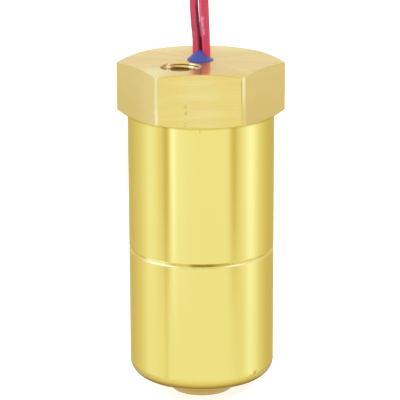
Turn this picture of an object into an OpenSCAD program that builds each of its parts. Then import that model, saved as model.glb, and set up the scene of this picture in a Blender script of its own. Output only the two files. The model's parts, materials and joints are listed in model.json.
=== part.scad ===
// Brass float switch that hangs in its own small float chamber.
// A hexagon head and its sleeve are one turned piece. A bowl screws into the sleeve from below.
// Liquid comes in through the tapped port under the bowl, and air leaves by the port in the head.
// The float rides on a thin closed stem, and its ring magnet closes the reed switch inside.
// Origin: centre of the boss underside. Z runs up along the housing, and the front faces -Y.

/* [Head] */
// Width of the hexagon head across its flats
head_flats = 38.1; // [36:0.1:44]
// Height of the hexagon head
head_h = 13.8; // [13.6:0.1:22]
// How far each corner of the hexagon is turned down, measured on the radius
corner_cut = 0.35; // [0.1:0.05:1]
// Diameter of the flat circle that the top chamfer leaves
head_top_d = 37.8; // [30:0.1:38]
// Slope of the top chamfer, in degrees
head_top_slope = 16; // [10:1:30]
// Slope of the chamfer under the hexagon, in degrees
head_under_slope = 18; // [5:1:25]
// Thickness of solid brass between the head's top and the float chamber
head_web = 12.5; // [11:0.1:13]

/* [Housing] */
// How much smaller than the hexagon's flats the round body is turned
body_skim = 0.1; // [0.1:0.1:1.5]
// Wall of the sleeve and the bowl
body_wall = 3.5; // [3.2:0.1:4]
// Height of the sleeve, from the seam up to the head
sleeve_h = 35.9; // [28:0.1:60]
// Height of the bowl, from its underside up to the seam
bowl_h = 34.6; // [30:0.1:60]
// Radius of the bowl's outer bottom edge
bowl_edge_r = 3.8; // [2:0.1:6]
// Radius in the bowl's inner bottom edge
bowl_inner_r = 2.5; // [1:0.1:4]
// Thickness of the bowl's bottom
bowl_floor = 4.5; // [4:0.1:6]
// Diameter of the round boss under the bowl
boss_d = 18.9; // [16:0.1:24]
// Height of the boss under the bowl
boss_h = 4.5; // [2:0.1:8]
// Chamfer on the boss's lower edge
boss_chamfer = 1.4; // [0.2:0.1:1.8]
// Chamfer on each side of the seam, which makes the V-shaped groove
seam_chamfer = 0.6; // [0.2:0.1:0.8]

/* [Bowl joint] */
// Height of the spigot that the bowl screws into the sleeve with
spigot_h = 9; // [7:0.5:12]
// Wall of the spigot
spigot_wall = 2; // [1.8:0.1:2.2]
// Radial gap between the spigot and the sleeve
spigot_gap = 0.05; // [0.02:0.01:0.1]
// Thickness of the O-ring's cord
o_ring_cord = 1.1; // [0.8:0.1:1.3]
// Height of the O-ring groove's lower side above the seam
o_ring_rise = 1.6; // [1.2:0.1:3]
// Room that the groove leaves above and below the O-ring
o_ring_play = 0.15; // [0.1:0.05:0.3]

/* [Ports] */
// Diameter of the two tapped ports, at the root of their thread
port_d = 10; // [8:0.1:10.4]
// Depth of the tapped port in the head
port_depth = 9.5; // [7:0.1:10.5]
// Chamfer at the mouth of each port
port_chamfer = 0.3; // [0.1:0.1:0.8]
// Distance of the head's port from the middle of the head
port_offset = 10.5; // [9.6:0.1:12]
// Direction of the head's port, in degrees anticlockwise from +X
port_angle = 242; // [200:1:340]
// Diameter of the vent hole between the head's port and the float chamber
vent_d = 4; // [2:0.1:4.2]

/* [Stem] */
// Outer diameter of the stem tube
stem_d = 6.35; // [6.2:0.05:7]
// Wall of the stem tube
stem_wall = 0.4; // [0.2:0.05:0.45]
// Depth of the stem's socket in the head
stem_socket = 7; // [4:0.5:10]
// Length of stem that hangs in the float chamber
stem_reach = 58.5; // [56:0.5:61]
// Gap between the reed switch's sleeve and the lower end of the blue epoxy
potting_gap = 1.5; // [0.5:0.5:6]
// Height of the epoxy that stands above the head, at its peak
potting_peak = 2.8; // [1:0.1:3.2]
// Radius of the pool of epoxy on top of the head
pool_r = 3.4; // [3:0.1:4]
// How far the pool reaches towards the front, from the middle of the head
pool_front = 4.2; // [3.5:0.1:5]

/* [Float] */
// Outer diameter of the float
float_d = 25.4; // [18:0.1:28]
// Height of the float
float_h = 19; // [16:0.5:24]
// Radius on the float's outer edges
float_edge_r = 2; // [0.5:0.1:4]
// Radial gap between the float and the stem
float_gap = 0.35; // [0.25:0.05:0.6]
// How far the float can rise
float_travel = 10; // [4:0.5:14]
// Outer diameter of the ring magnet
magnet_d = 12; // [10.5:0.1:14]
// Height of the ring magnet
magnet_h = 5; // [3:0.1:6]
// Gap between the magnet's bore and the stem, measured on the radius
magnet_gap = 0.55; // [0.4:0.05:0.8]
// Thickness of the ring that closes the magnet's pocket
magnet_cap_h = 3; // [2:0.1:5]

/* [Stops] */
// Outer diameter of the two retaining rings on the stem
ring_d = 11; // [9.5:0.1:13]
// Thickness of the retaining rings
ring_t = 1; // [0.6:0.1:1.6]
// Opening of the retaining rings, in degrees
ring_opening = 50; // [30:5:90]
// Height of the lower retaining ring above the end of the stem
ring_rise = 3.5; // [3.5:0.1:6]
// Outer diameter of the washer under the float
washer_d = 13; // [10:0.1:16]
// Thickness of the washer under the float
washer_t = 0.8; // [0.4:0.1:1.5]
// Radial gap between the washer and the stem
washer_gap = 0.15; // [0.05:0.05:0.3]
// Height that the float is drawn clear of its stops
rest_gap = 0.1; // [0.05:0.05:0.3]

/* [Reed switch] */
// Outer diameter of the reed switch's glass
glass_d = 2; // [1.6:0.1:2]
// Length of the reed switch's glass
glass_l = 14; // [10:0.5:16]
// Wall of the glass
glass_wall = 0.25; // [0.15:0.05:0.3]
// Thickness of the blades' round ends
reed_end_d = 0.5; // [0.3:0.05:0.6]
// Length of round end that stands out of the glass
reed_end_l = 4; // [3:0.1:5]
// Width of the blades
blade_w = 1.1; // [0.7:0.1:1.2]
// Thickness of the blades
blade_t = 0.2; // [0.15:0.05:0.25]
// Length over which the two blades overlap
blade_overlap = 1.5; // [1:0.1:2.5]
// Gap between the open contacts
blade_gap = 0.12; // [0.08:0.02:0.2]
// Height of the switch's middle over the resting magnet's middle
reed_rise = 6.5; // [4:0.5:7]
// Wall of the shrunk sleeve over the switch
shrink_wall = 0.17; // [0.1:0.01:0.2]
// Gap between the glass and the sleeve, measured on the radius
shrink_gap = 0.08; // [0.06:0.01:0.1]
// How far the sleeve reaches over the right lead's insulation
shrink_overlap = 1.5; // [0.5:0.1:3]
// Length of each end of the glass that is melted shut
glass_seal = 1.8; // [1:0.1:3]
// Length of the solder barrels
solder_l = 2.6; // [1.5:0.1:3.5]
// Diameter of the solder barrels
solder_d = 1.7; // [1.4:0.1:2]

/* [Leads] */
// Diameter of the two insulated lead wires
lead_d = 2.1; // [1.7:0.1:2.1]
// Diameter of the leads' bare core
core_d = 0.8; // [0.6:0.05:0.9]
// Gap between the left lead and the switch's sleeve
lead_gap = 0.05; // [0.02:0.01:0.1]
// How far the two leads sit right of the stem's middle
lead_shift = 0.3; // [0:0.05:0.3]
// Length of bare core at the leads' free ends
core_end_l = 7; // [4:0.5:12]

/* [Hidden] */
$fn = 96;
cut = 1; // how far a cutter runs past the face it opens

// Heights above the boss underside
z_body = boss_h;
z_seam = z_body + bowl_h;
z_head = z_seam + sleeve_h;
z_top = z_head + head_h;
z_ceiling = z_top - head_web;
z_floor = z_body + bowl_floor;

// Housing
body_r = (head_flats - body_skim) / 2;
chamber_r = body_r - body_wall;
spigot_r = chamber_r + spigot_wall;
socket_r = spigot_r + spigot_gap;
boss_r = boss_d / 2;
corner_r = head_flats / 2 / cos(30);
port_r = port_d / 2;
port_x = port_offset * cos(port_angle);
port_y = port_offset * sin(port_angle);

// Stem and its stops
stem_r = stem_d / 2;
bore_r = stem_r - stem_wall;
z_stem_top = z_ceiling + stem_socket;
z_stem_end = z_ceiling - stem_reach;
z_low_ring = z_stem_end + ring_rise;
z_washer = z_low_ring + ring_t;
z_float = z_washer + washer_t + rest_gap;
z_high_ring = z_float + float_h + float_travel + rest_gap;

// Float
float_bore_r = stem_r + float_gap;
pocket_r = magnet_d / 2;
z_pocket = z_float + float_h - magnet_cap_h - magnet_h;

// Reed switch and the leads beside it
shrink_in_r = max(glass_d, lead_d) / 2 + shrink_gap;
shrink_r = shrink_in_r + shrink_wall;
lead_r = lead_d / 2;
core_r = core_d / 2;
pair_w = lead_d + lead_gap + 2 * shrink_r;
left_x = lead_shift + lead_r - pair_w / 2;
right_x = lead_shift + pair_w / 2 - shrink_r;
z_reed = z_pocket + magnet_h / 2 + reed_rise;
z_glass = z_reed - glass_l / 2;
z_low_end = z_glass - reed_end_l;
z_high_end = z_glass + glass_l + reed_end_l;
blade_root = 0.6; // how far each blade's round end reaches into its flat
bare_gap = 0.3; // between a solder barrel and the insulation above it
left_bare_rise = 2; // the left lead's insulation ends this far above the lower joint
shrink_rise = 0.2; // and the switch's sleeve starts this far above that end
turn_drop = 1; // and its core turns up this far below the joint
z_right_bare = z_high_end + solder_l / 2 + bare_gap; // underside of the right lead's insulation
z_left_bare = z_low_end + left_bare_rise; // underside of the left lead's insulation
z_turn = z_low_end - turn_drop; // where the left lead's core turns up
turn_r = (right_x - left_x) / 2;
z_shrink = z_left_bare + shrink_rise;
z_shrink_top = z_right_bare + shrink_overlap;
z_potting = z_shrink_top + potting_gap;

// Coil of the spare lead, which lies behind the housing on its two ties
coil_x = 3.2;
coil_y = 36.6;
coil_lift = 1.2;
coil_mean_r = 11;
lanes = 4;
coil_in_r = coil_mean_r - lanes * lead_r;
coil_out_r = coil_mean_r + lanes * lead_r;
coil_h = lanes * lead_d;
tie_w = 2.5;
tie_t = 0.9;
tie_gap = 0.2;
lock_w = 4;
lock_h = 2;
tie_angles = [20, 200];
end_angle = 100; // where the free ends leave the coil
end_start = 5; // how far along its straight end the insulation stops
end_low = coil_lift + 2.5 * lead_d;

// Routes of the two leads, from the head's top to the coil
left_route = [
    [-1.02, 0, z_top], [-1.02, 0, 92], [-1.1, 0, 94.5], [-1.45, 0, 98.5], [-1.7, 0.2, 103],
    [-1.8, 1.4, 107.5], [-1.85, 4, 111], [-1.85, 7.6, 113.3], [-1.85, 11.4, 113.8],
    [-1.8, 15.6, 112.5], [-1.75, 19, 109.5], [-1.7, 21.4, 105.5], [-1.65, 22.4, 101],
    [-1.35, 22.5, 95], [-1.05, 22.5, 89], [-1.25, 22.5, 80], [-2.3, 22.5, 70],
    [-3.6, 22.5, 58], [-4.9, 22.5, 46], [-5.8, 22.5, 34], [-6.2, 22.5, 22],
    [-6.2, 22.5, 12.5], [-4.8, 22.5, 7.2], [-1.6, 22.45, 3.6], [3.2, 22.45, 2.25]
];
right_route = [
    [1.38, 0, z_top], [1.38, 0, 92], [1.2, 0, 94.5], [0.85, 0, 98.5], [0.65, 0.2, 103],
    [0.6, 1.4, 107.5], [0.55, 4, 111], [0.55, 7.6, 113.3], [0.55, 11.4, 113.8],
    [0.55, 15.6, 112.5], [0.5, 19, 109.5], [0.5, 21.4, 105.5], [0.55, 22.4, 101],
    [0.85, 22.5, 95], [1.15, 22.5, 89], [1.05, 22.5, 80], [0.2, 22.5, 70],
    [-1.2, 22.5, 58], [-2.5, 22.5, 46], [-3.4, 22.5, 34], [-3.8, 22.5, 22],
    [-3.8, 22.5, 12.2], [-2.7, 22.5, 8.2], [-0.4, 22.45, 5.4], [3.2, 22.45, 4.35]
];

brass = [0.88, 0.78, 0.42];
bowl_brass = [0.9, 0.8, 0.44];
rubber_black = [0.12, 0.12, 0.13];
lead_red = [0.8, 0.16, 0.24];

// Rectangle with round corners, from its lower left corner
module round_rectangle(w, h, r) {
    translate([r, 0]) square([w - 2 * r, h]);
    translate([0, r]) square([w, h - 2 * r]);
    for (x = [r, w - r], y = [r, h - r])
        translate([x, y]) circle(r, $fn = 32);
}

// Half section of a round solid whose lower outer edge is rounded
module round_foot(r, h, edge) {
    square([r - edge, h]);
    translate([0, edge]) square([r, h - edge]);
    intersection() {
        translate([r - edge, edge]) circle(edge);
        square([r, 2 * edge]);
    }
}

// Flat ring: outer and inner radius, thickness
module ring(outer, inner, t) {
    difference() {
        cylinder(r = outer, h = t);
        translate([0, 0, -cut]) cylinder(r = inner, h = t + 2 * cut);
    }
}

// Hexagon block with its corners and both ends turned
module hexagon_head() {
    turned_r = corner_r - corner_cut;
    flat_r = head_flats / 2;
    top_r = head_top_d / 2;
    intersection() {
        cylinder(r = corner_r, h = head_h, $fn = 6);
        rotate_extrude() polygon([
            [0, 0], [flat_r, 0], [turned_r, (turned_r - flat_r) * tan(head_under_slope)],
            [turned_r, head_h - (turned_r - top_r) * tan(head_top_slope)], [top_r, head_h],
            [0, head_h]
        ]);
    }
}

// Outer form of the sleeve, with its half of the seam groove
module sleeve_form() {
    rotate_extrude() polygon([
        [0, 0], [body_r - seam_chamfer, 0], [body_r, seam_chamfer], [body_r, sleeve_h + cut],
        [0, sleeve_h + cut]
    ]);
}

// Cutter for a port that opens upwards at z = 0
module port_cutter(depth) {
    translate([0, 0, -depth]) cylinder(r = port_r, h = depth + cut);
    translate([0, 0, -port_chamfer])
        cylinder(r1 = port_r, r2 = port_r + port_chamfer + cut, h = port_chamfer + cut);
}

module upper_housing() {
    color(brass) difference() {
        union() {
            translate([0, 0, z_head]) hexagon_head();
            translate([0, 0, z_seam]) sleeve_form();
        }
        // float chamber and the wider bore that takes the bowl's spigot
        translate([0, 0, z_seam - cut]) cylinder(r = chamber_r, h = z_ceiling - z_seam + cut);
        translate([0, 0, z_seam - cut]) cylinder(r = socket_r, h = spigot_h + spigot_gap + cut);
        // socket of the stem, and the narrower bore above it for the epoxy
        translate([0, 0, z_ceiling - cut]) cylinder(r = stem_r, h = stem_socket + cut);
        translate([0, 0, z_ceiling]) cylinder(r = bore_r, h = head_web + cut);
        // tapped port and its vent hole
        translate([port_x, port_y, z_top]) port_cutter(port_depth);
        translate([port_x, port_y, z_ceiling - cut]) cylinder(d = vent_d, h = head_web);
    }
}

module lower_bowl() {
    groove_h = o_ring_cord + 2 * o_ring_play;
    color(bowl_brass) difference() {
        union() {
            translate([0, 0, z_body])
                rotate_extrude() round_foot(body_r, bowl_h - seam_chamfer, bowl_edge_r);
            translate([0, 0, z_seam - seam_chamfer])
                cylinder(r1 = body_r, r2 = body_r - seam_chamfer, h = seam_chamfer);
            translate([0, 0, z_seam - cut]) cylinder(r = spigot_r, h = spigot_h + cut);
            cylinder(r1 = boss_r - boss_chamfer, r2 = boss_r, h = boss_chamfer);
            translate([0, 0, boss_chamfer]) cylinder(r = boss_r, h = boss_h - boss_chamfer + cut);
        }
        translate([0, 0, z_floor])
            rotate_extrude() round_foot(chamber_r, z_seam + spigot_h + cut - z_floor, bowl_inner_r);
        mirror([0, 0, 1]) port_cutter(z_floor + cut);
        // groove for the O-ring
        translate([0, 0, z_seam + o_ring_rise])
            ring(spigot_r + cut, socket_r - o_ring_cord, groove_h);
    }
}

module joint_o_ring() {
    color(rubber_black)
        translate([0, 0, z_seam + o_ring_rise + o_ring_play + o_ring_cord / 2]) rotate_extrude()
            translate([socket_r - o_ring_cord / 2, 0]) circle(d = o_ring_cord, $fn = 32);
}

// Drawn tube with a domed lower end
module stem_tube() {
    color([0.82, 0.7, 0.36]) difference() {
        translate([0, 0, z_stem_end])
            rotate_extrude() round_foot(stem_r, z_stem_top - z_stem_end, stem_r * 0.7);
        translate([0, 0, z_stem_end + 2 * stem_wall])
            rotate_extrude() round_foot(bore_r, z_stem_top - z_stem_end, bore_r * 0.7);
    }
}

// Epoxy in the stem, with the raised pool round the leads on top of the head
module stem_potting() {
    color([0.25, 0.3, 0.66]) difference() {
        union() {
            translate([0, 0, z_potting]) cylinder(r = bore_r, h = z_top - z_potting);
            translate([0, 0, z_top]) hull() {
                cylinder(r1 = pool_r, r2 = pool_r / 3, h = potting_peak * 0.7, $fn = 32);
                cylinder(r1 = pool_r / 2, r2 = pool_r / 8, h = potting_peak, $fn = 32);
                translate([0, pool_r - pool_front, 0])
                    cylinder(r1 = pool_r, r2 = pool_r / 3, h = potting_peak * 0.3, $fn = 32);
            }
        }
        for (x = [left_x, right_x])
            translate([x, 0, z_potting - cut])
                cylinder(r = lead_r, h = z_top + potting_peak + 2 * cut - z_potting);
    }
}

// Push-on grip ring, open at its back
module grip_ring() {
    difference() {
        ring(ring_d / 2, stem_r, ring_t);
        translate([0, 0, -cut]) linear_extrude(ring_t + 2 * cut) polygon([
            [0, 0], ring_d * [sin(ring_opening / 2), cos(ring_opening / 2)],
            ring_d * [-sin(ring_opening / 2), cos(ring_opening / 2)]
        ]);
    }
}

module retaining_rings() {
    color("silver")
        for (z = [z_low_ring, z_high_ring])
            translate([0, 0, z]) grip_ring();
}

module stop_washer() {
    color("gainsboro") translate([0, 0, z_washer]) ring(washer_d / 2, stem_r + washer_gap, washer_t);
}

module float_body() {
    color(rubber_black) difference() {
        translate([0, 0, z_float]) rotate_extrude()
            intersection() {
                translate([-float_d / 2, 0]) round_rectangle(float_d, float_h, float_edge_r);
                square([float_d, float_h]);
            }
        translate([0, 0, z_float - cut]) cylinder(r = float_bore_r, h = float_h + 2 * cut);
        translate([0, 0, z_pocket]) cylinder(r = pocket_r, h = float_h);
    }
}

module float_magnet() {
    color([0.25, 0.25, 0.27]) translate([0, 0, z_pocket]) ring(pocket_r, stem_r + magnet_gap, magnet_h);
}

module magnet_cap() {
    color([0.2, 0.2, 0.21])
        translate([0, 0, z_pocket + magnet_h]) ring(pocket_r, float_bore_r, magnet_cap_h);
}

// Glass tube, melted shut round the two blades' ends
module reed_glass() {
    color([0.75, 0.9, 0.85, 0.5]) translate([right_x, 0, z_glass]) difference() {
        cylinder(d = glass_d, h = glass_l, $fn = 48);
        translate([0, 0, glass_seal])
            cylinder(r = glass_d / 2 - glass_wall, h = glass_l - 2 * glass_seal, $fn = 48);
        translate([0, 0, -cut]) cylinder(d = reed_end_d, h = glass_l + 2 * cut, $fn = 32);
    }
}

// Blade that comes up through the lower seal: round end below, flat contact inside
module reed_blade(side) {
    flat_l = (glass_l + blade_overlap) / 2 - glass_seal;
    y = side * (blade_gap + blade_t) / 2;
    cylinder(d = reed_end_d, h = reed_end_l + glass_seal + blade_root, $fn = 32);
    translate([-blade_w / 2, y - blade_t / 2, reed_end_l + glass_seal])
        cube([blade_w, blade_t, flat_l]);
}

module lower_reed_blade() {
    color("lightsteelblue") translate([right_x, 0, z_low_end]) reed_blade(-1);
}

module upper_reed_blade() {
    color("lightsteelblue") translate([right_x, 0, z_high_end]) mirror([0, 0, 1]) reed_blade(1);
}

module reed_sleeve() {
    color([0.85, 0.85, 0.8, 0.6])
        translate([right_x, 0, z_shrink]) ring(shrink_r, shrink_in_r, z_shrink_top - z_shrink);
}

// Barrel of solder round a joint of two wires, the thicker one below when turned over
module solder_barrel() {
    difference() {
        cylinder(d = solder_d, h = solder_l, center = true, $fn = 32);
        translate([0, 0, -solder_l]) cylinder(r = core_r, h = solder_l, $fn = 32);
        cylinder(d = reed_end_d, h = solder_l, $fn = 32);
    }
}

module solder_joints() {
    color("silver") {
        translate([right_x, 0, z_low_end]) solder_barrel();
        translate([right_x, 0, z_high_end]) mirror([0, 0, 1]) solder_barrel();
    }
}

// The leads inside the head and the stem, and the right lead's bare end
module held_leads() {
    color(lead_red) {
        translate([left_x, 0, z_left_bare]) cylinder(r = lead_r, h = z_top - z_left_bare, $fn = 48);
        translate([right_x, 0, z_right_bare]) cylinder(r = lead_r, h = z_top - z_right_bare, $fn = 48);
        translate([right_x, 0, z_high_end]) cylinder(r = core_r, h = z_right_bare - z_high_end, $fn = 32);
    }
}

// Bare end of the left lead, which turns up to the lower reed
module left_lead_core() {
    color([0.8, 0.5, 0.3]) {
        translate([left_x, 0, z_turn]) cylinder(r = core_r, h = z_left_bare - z_turn, $fn = 32);
        translate([right_x, 0, z_turn]) cylinder(r = core_r, h = z_low_end - z_turn, $fn = 32);
        translate([(left_x + right_x) / 2, 0, z_turn]) rotate([90, 0, 0]) rotate([0, 0, 180])
            rotate_extrude(angle = 180) translate([turn_r, 0]) circle(r = core_r, $fn = 32);
    }
}

function unit(v) = v / norm(v);
function along(p, i) = unit(p[min(i + 1, len(p) - 1)] - p[max(i - 1, 0)]);
function square_to(n, t) = unit(n - (n * t) * t);
function sides_of(p, i, n) = i == len(p) ? [] :
    let (m = square_to(n, along(p, i))) concat([m], sides_of(p, i + 1, m));

// Tube along a list of points, with a ring of flat sides at each
module tube(p, r, sides) {
    n = sides_of(p, 0, [1, 0, 0]);
    last = len(p) - 1;
    polyhedron(
        points = [
            for (i = [0:last], k = [0:sides - 1])
                let (b = cross(along(p, i), n[i]), a = 360 * k / sides)
                    p[i] + r * (cos(a) * n[i] + sin(a) * b)
        ],
        faces = concat(
            [[for (k = [sides - 1:-1:0]) k]],
            [for (i = [0:last - 1], k = [0:sides - 1]) let (q = (k + 1) % sides)
                [i * sides + k, i * sides + q, (i + 1) * sides + q, (i + 1) * sides + k]],
            [[for (k = [0:sides - 1]) last * sides + k]]
        )
    );
}

module lead_left() {
    color(lead_red) tube(left_route, lead_r, 8);
}

module lead_right() {
    color(lead_red) tube(right_route, lead_r, 8);
}

module leads_coil() {
    color([0.75, 0.14, 0.2]) translate([coil_x, coil_y, coil_lift]) rotate_extrude()
        translate([coil_in_r, 0]) round_rectangle(coil_out_r - coil_in_r, coil_h, lead_r);
}

// Cable tie round the coil's turns, with its lock on top
module coil_tie() {
    w = coil_out_r - coil_in_r + 2 * tie_gap;
    h = coil_h + 2 * tie_gap;
    translate([coil_mean_r, tie_w / 2, 0]) rotate([90, 0, 0]) difference() {
        linear_extrude(tie_w) difference() {
            translate([-w / 2 - tie_t, 0])
                round_rectangle(w + 2 * tie_t, h + 2 * tie_t, lead_r + tie_t);
            translate([-w / 2, tie_t]) round_rectangle(w, h, lead_r);
        }
    }
    translate([coil_mean_r - lock_w / 2, -lock_w / 2, h + 2 * tie_t]) cube([lock_w, lock_w, lock_h]);
}

module coil_ties() {
    color("ivory") translate([coil_x, coil_y, coil_lift - tie_gap - tie_t])
        for (a = tie_angles)
            rotate(a) coil_tie();
}

// Stripped and tinned ends of the leads, one above the other
module lead_ends() {
    color("silver") translate([coil_x, coil_y, end_low])
        for (z = [0, lead_d])
            rotate(end_angle) translate([coil_out_r - lead_r, end_start, z])
                rotate([-90, 0, 0]) cylinder(r = core_r, h = core_end_l, $fn = 24);
}

upper_housing();
lower_bowl();
joint_o_ring();
stem_tube();
stem_potting();
retaining_rings();
stop_washer();
float_body();
float_magnet();
magnet_cap();
reed_glass();
upper_reed_blade();
lower_reed_blade();
reed_sleeve();
solder_joints();
held_leads();
left_lead_core();
lead_left();
lead_right();
leads_coil();
coil_ties();
lead_ends();
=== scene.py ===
# %% [markdown]
# # A brass float switch
# The object is a liquid-level switch in its own small chamber: a hexagon head, a round housing in
# two halves, and two red leads that come out of a pool of blue epoxy. The CAD model brings every
# rigid piece at its real size. This script adds what a CAD model can't show: the leads with their
# spare length, the screw threads, the epoxy's skin, and the finish of every surface.

# %% Load the frame
import json
from math import cos, pi, radians, sin, sqrt

import bpy
from mathutils import Matrix, Vector


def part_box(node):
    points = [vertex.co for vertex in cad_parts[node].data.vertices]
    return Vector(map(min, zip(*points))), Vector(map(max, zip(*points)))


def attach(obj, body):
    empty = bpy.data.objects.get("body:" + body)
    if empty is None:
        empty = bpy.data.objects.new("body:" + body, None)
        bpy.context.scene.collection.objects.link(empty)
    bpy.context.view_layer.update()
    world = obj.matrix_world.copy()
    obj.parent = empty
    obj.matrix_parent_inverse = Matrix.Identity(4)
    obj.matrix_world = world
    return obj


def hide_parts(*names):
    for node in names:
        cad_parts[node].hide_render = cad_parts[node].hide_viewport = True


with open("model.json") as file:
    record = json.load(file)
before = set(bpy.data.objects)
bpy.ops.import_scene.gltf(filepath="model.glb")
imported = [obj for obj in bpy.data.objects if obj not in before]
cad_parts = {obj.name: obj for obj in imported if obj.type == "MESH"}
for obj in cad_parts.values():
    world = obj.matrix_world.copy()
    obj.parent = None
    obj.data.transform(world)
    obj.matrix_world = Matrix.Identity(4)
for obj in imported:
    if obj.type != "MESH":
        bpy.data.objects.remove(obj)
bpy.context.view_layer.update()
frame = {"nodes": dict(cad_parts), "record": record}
scene = bpy.context.scene
scene.view_settings.view_transform = "Standard"
mm = 0.001

# %% [markdown]
# ## Camera
# The photo was taken with a long lens from a little above, so the upright edges stay almost
# parallel. The distance, the height and the tilt were found by matching the outline of the head,
# the seam and the boss. An orthographic camera would keep the edges quite parallel, but the curves
# in the photo get rounder towards the foot, and only a real distance gives that. Angles are in
# degrees, here and in the other cells.

# %% Camera
camera_distance = 500 * mm
camera_height = 190.54 * mm
camera_tilt = 15.55
camera_turn = 0.8
camera_lean = -0.23
focal_length_px = 1984.7
image_px = 400
aim_right_px = 1.3
sensor_mm = 36
view_end = 20

camera = bpy.data.objects.new("camera", bpy.data.cameras.new("camera"))
scene.collection.objects.link(camera)
scene.camera = camera
camera.data.sensor_width = sensor_mm
camera.data.lens = focal_length_px / image_px * sensor_mm
camera.data.clip_end = view_end
camera.matrix_world = (
    Matrix.Rotation(radians(camera_turn), 4, "Z")
    @ Matrix.Translation((0, -camera_distance, camera_height))
    @ Matrix.Rotation(aim_right_px / focal_length_px, 4, "Z")
    @ Matrix.Rotation(radians(90 - camera_tilt), 4, "X")
    @ Matrix.Rotation(radians(camera_lean), 4, "Z")
)
print("lens, mm:", round(camera.data.lens, 1))

# %% [markdown]
# ## Measures from the frame
# Every place is read from the CAD nodes, so a piece lands where the solid says. Typing the places
# again would be quicker, but they would be wrong after the next change to the solids. Only the
# height of the hexagon head is stated here, because head and sleeve are one node.

# %% Measures
head_h = 13.8 * mm
housing_low, housing_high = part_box("upper_housing")
seam_z = housing_low.z
head_top_z = housing_high.z
head_low_z = head_top_z - head_h
mounts = {m["name"]: m for m in frame["record"]["mounts"]}
print("seam", round(seam_z / mm, 2), "head", round(head_low_z / mm, 2), round(head_top_z / mm, 2))

# %% [markdown]
# ## The leads' route
# Two insulated leads stand up out of the epoxy and leave the picture at the top. Past the picture
# they turn over the back of the head, run down behind the housing and lie in a neat coil, held by
# two ties. A simulation could drop them, but a lead this stiff keeps the bends that a hand gives
# it. So the open stretch is a list of points, the ones of the CAD route, with the leads a little
# further apart behind the head, so that light shows between them. The points are in millimetres,
# as in the CAD model, and become metres when the curve is made.

# %% Route of the leads
lead_r = 1.05 * mm
top = head_top_z / mm
left_route = [
    (-1.02, 0, top), (-1.02, 0, 92), (-1.1, 0, 94.5), (-1.45, 0, 98.5), (-1.7, 0.2, 103),
    (-1.8, 1.4, 107.5), (-1.85, 4, 111), (-1.85, 7.6, 113.3), (-1.85, 11.4, 113.8),
    (-1.8, 15.6, 112.5), (-1.75, 19, 109.5), (-1.8, 21.4, 105.5), (-2.0, 22.4, 101),
    (-1.67, 22.5, 95), (-1.05, 22.5, 89), (-1.25, 22.5, 80), (-2.3, 22.5, 70),
    (-3.6, 22.5, 58), (-4.9, 22.5, 46), (-5.8, 22.5, 34), (-6.2, 22.5, 22),
    (-6.2, 22.5, 12.5), (-4.8, 22.5, 7.2), (-1.6, 22.45, 3.6), (3.2, 22.45, 2.25),
]
right_route = [
    (1.38, 0, top), (1.38, 0, 92), (1.2, 0, 94.5), (0.85, 0, 98.5), (0.65, 0.2, 103),
    (0.6, 1.4, 107.5), (0.55, 4, 111), (0.55, 7.6, 113.3), (0.55, 11.4, 113.8),
    (0.55, 15.6, 112.5), (0.5, 19, 109.5), (0.55, 21.4, 105.5), (0.75, 22.4, 101),
    (0.94, 22.5, 95), (1.15, 22.5, 89), (1.05, 22.5, 80), (0.2, 22.5, 70),
    (-1.2, 22.5, 58), (-2.5, 22.5, 46), (-3.4, 22.5, 34), (-3.8, 22.5, 22),
    (-3.8, 22.5, 12.2), (-2.7, 22.5, 8.2), (-0.4, 22.45, 5.4), (3.2, 22.45, 4.35),
]
print("hand-set points:", len(left_route), len(right_route))

# %% [markdown]
# ## The coil
# The spare length of both leads is wound up by hand and tied. A list of points would be long and
# hard to change, so a loop works out the turns. They lie in four lanes and two levels, from the
# outer lane inwards and back out on the upper level, so the whole length fits the CAD ring. A
# change of lane or level is spread over a few degrees, as a soft rise from 0 to 1.

# %% Turns of the coil
coil_centre = (3.2, 36.6)
coil_start = -90
coil_turn = 2350
coil_step = 15
lane_radii = [14.15, 12.05, 9.95, 7.85]
lane_order = [0, 1, 2, 3, 3, 2, 1, 0]
lane_turn = 320
lanes_on_level = 4
level_rise = 4.2
change_turn = 40
end_straight = 5


def eased(t):
    """A smooth rise from 0 to 1 while t goes from 0 to 1."""
    t = min(1, max(0, t))
    return t * t * (3 - 2 * t)


def changed(turn, lanes):
    """How far the change after so many lanes is done, from 0 to 1."""
    return eased((turn - lanes * lane_turn) / change_turn + 0.5)


def coil_place(turn, low_z):
    """Point of the winding after so many degrees, in mm."""
    lane = sum(
        (lane_radii[b] - lane_radii[a]) * changed(turn, k)
        for k, (a, b) in enumerate(zip(lane_order, lane_order[1:]), 1)
    ) + lane_radii[lane_order[0]]
    rise = level_rise * changed(turn, lanes_on_level)
    angle = radians(turn + coil_start)
    return (coil_centre[0] + lane * cos(angle), coil_centre[1] + lane * sin(angle), low_z + rise)


def lead_points(route):
    """The whole lead: its open stretch, its turns and the short straight end."""
    low_z = route[-1][2]
    turns = [coil_place(t, low_z) for t in range(coil_step, coil_turn, coil_step)]
    last = coil_place(coil_turn, low_z)
    ahead = radians(coil_turn)
    straight = [
        (last[0] + s * cos(ahead), last[1] + s * sin(ahead), last[2])
        for s in (0, end_straight / 2, end_straight)
    ]
    return [Vector(p) * mm for p in route + turns + straight]


left_points, right_points = lead_points(left_route), lead_points(right_route)
print("points on each lead:", len(left_points))
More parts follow.
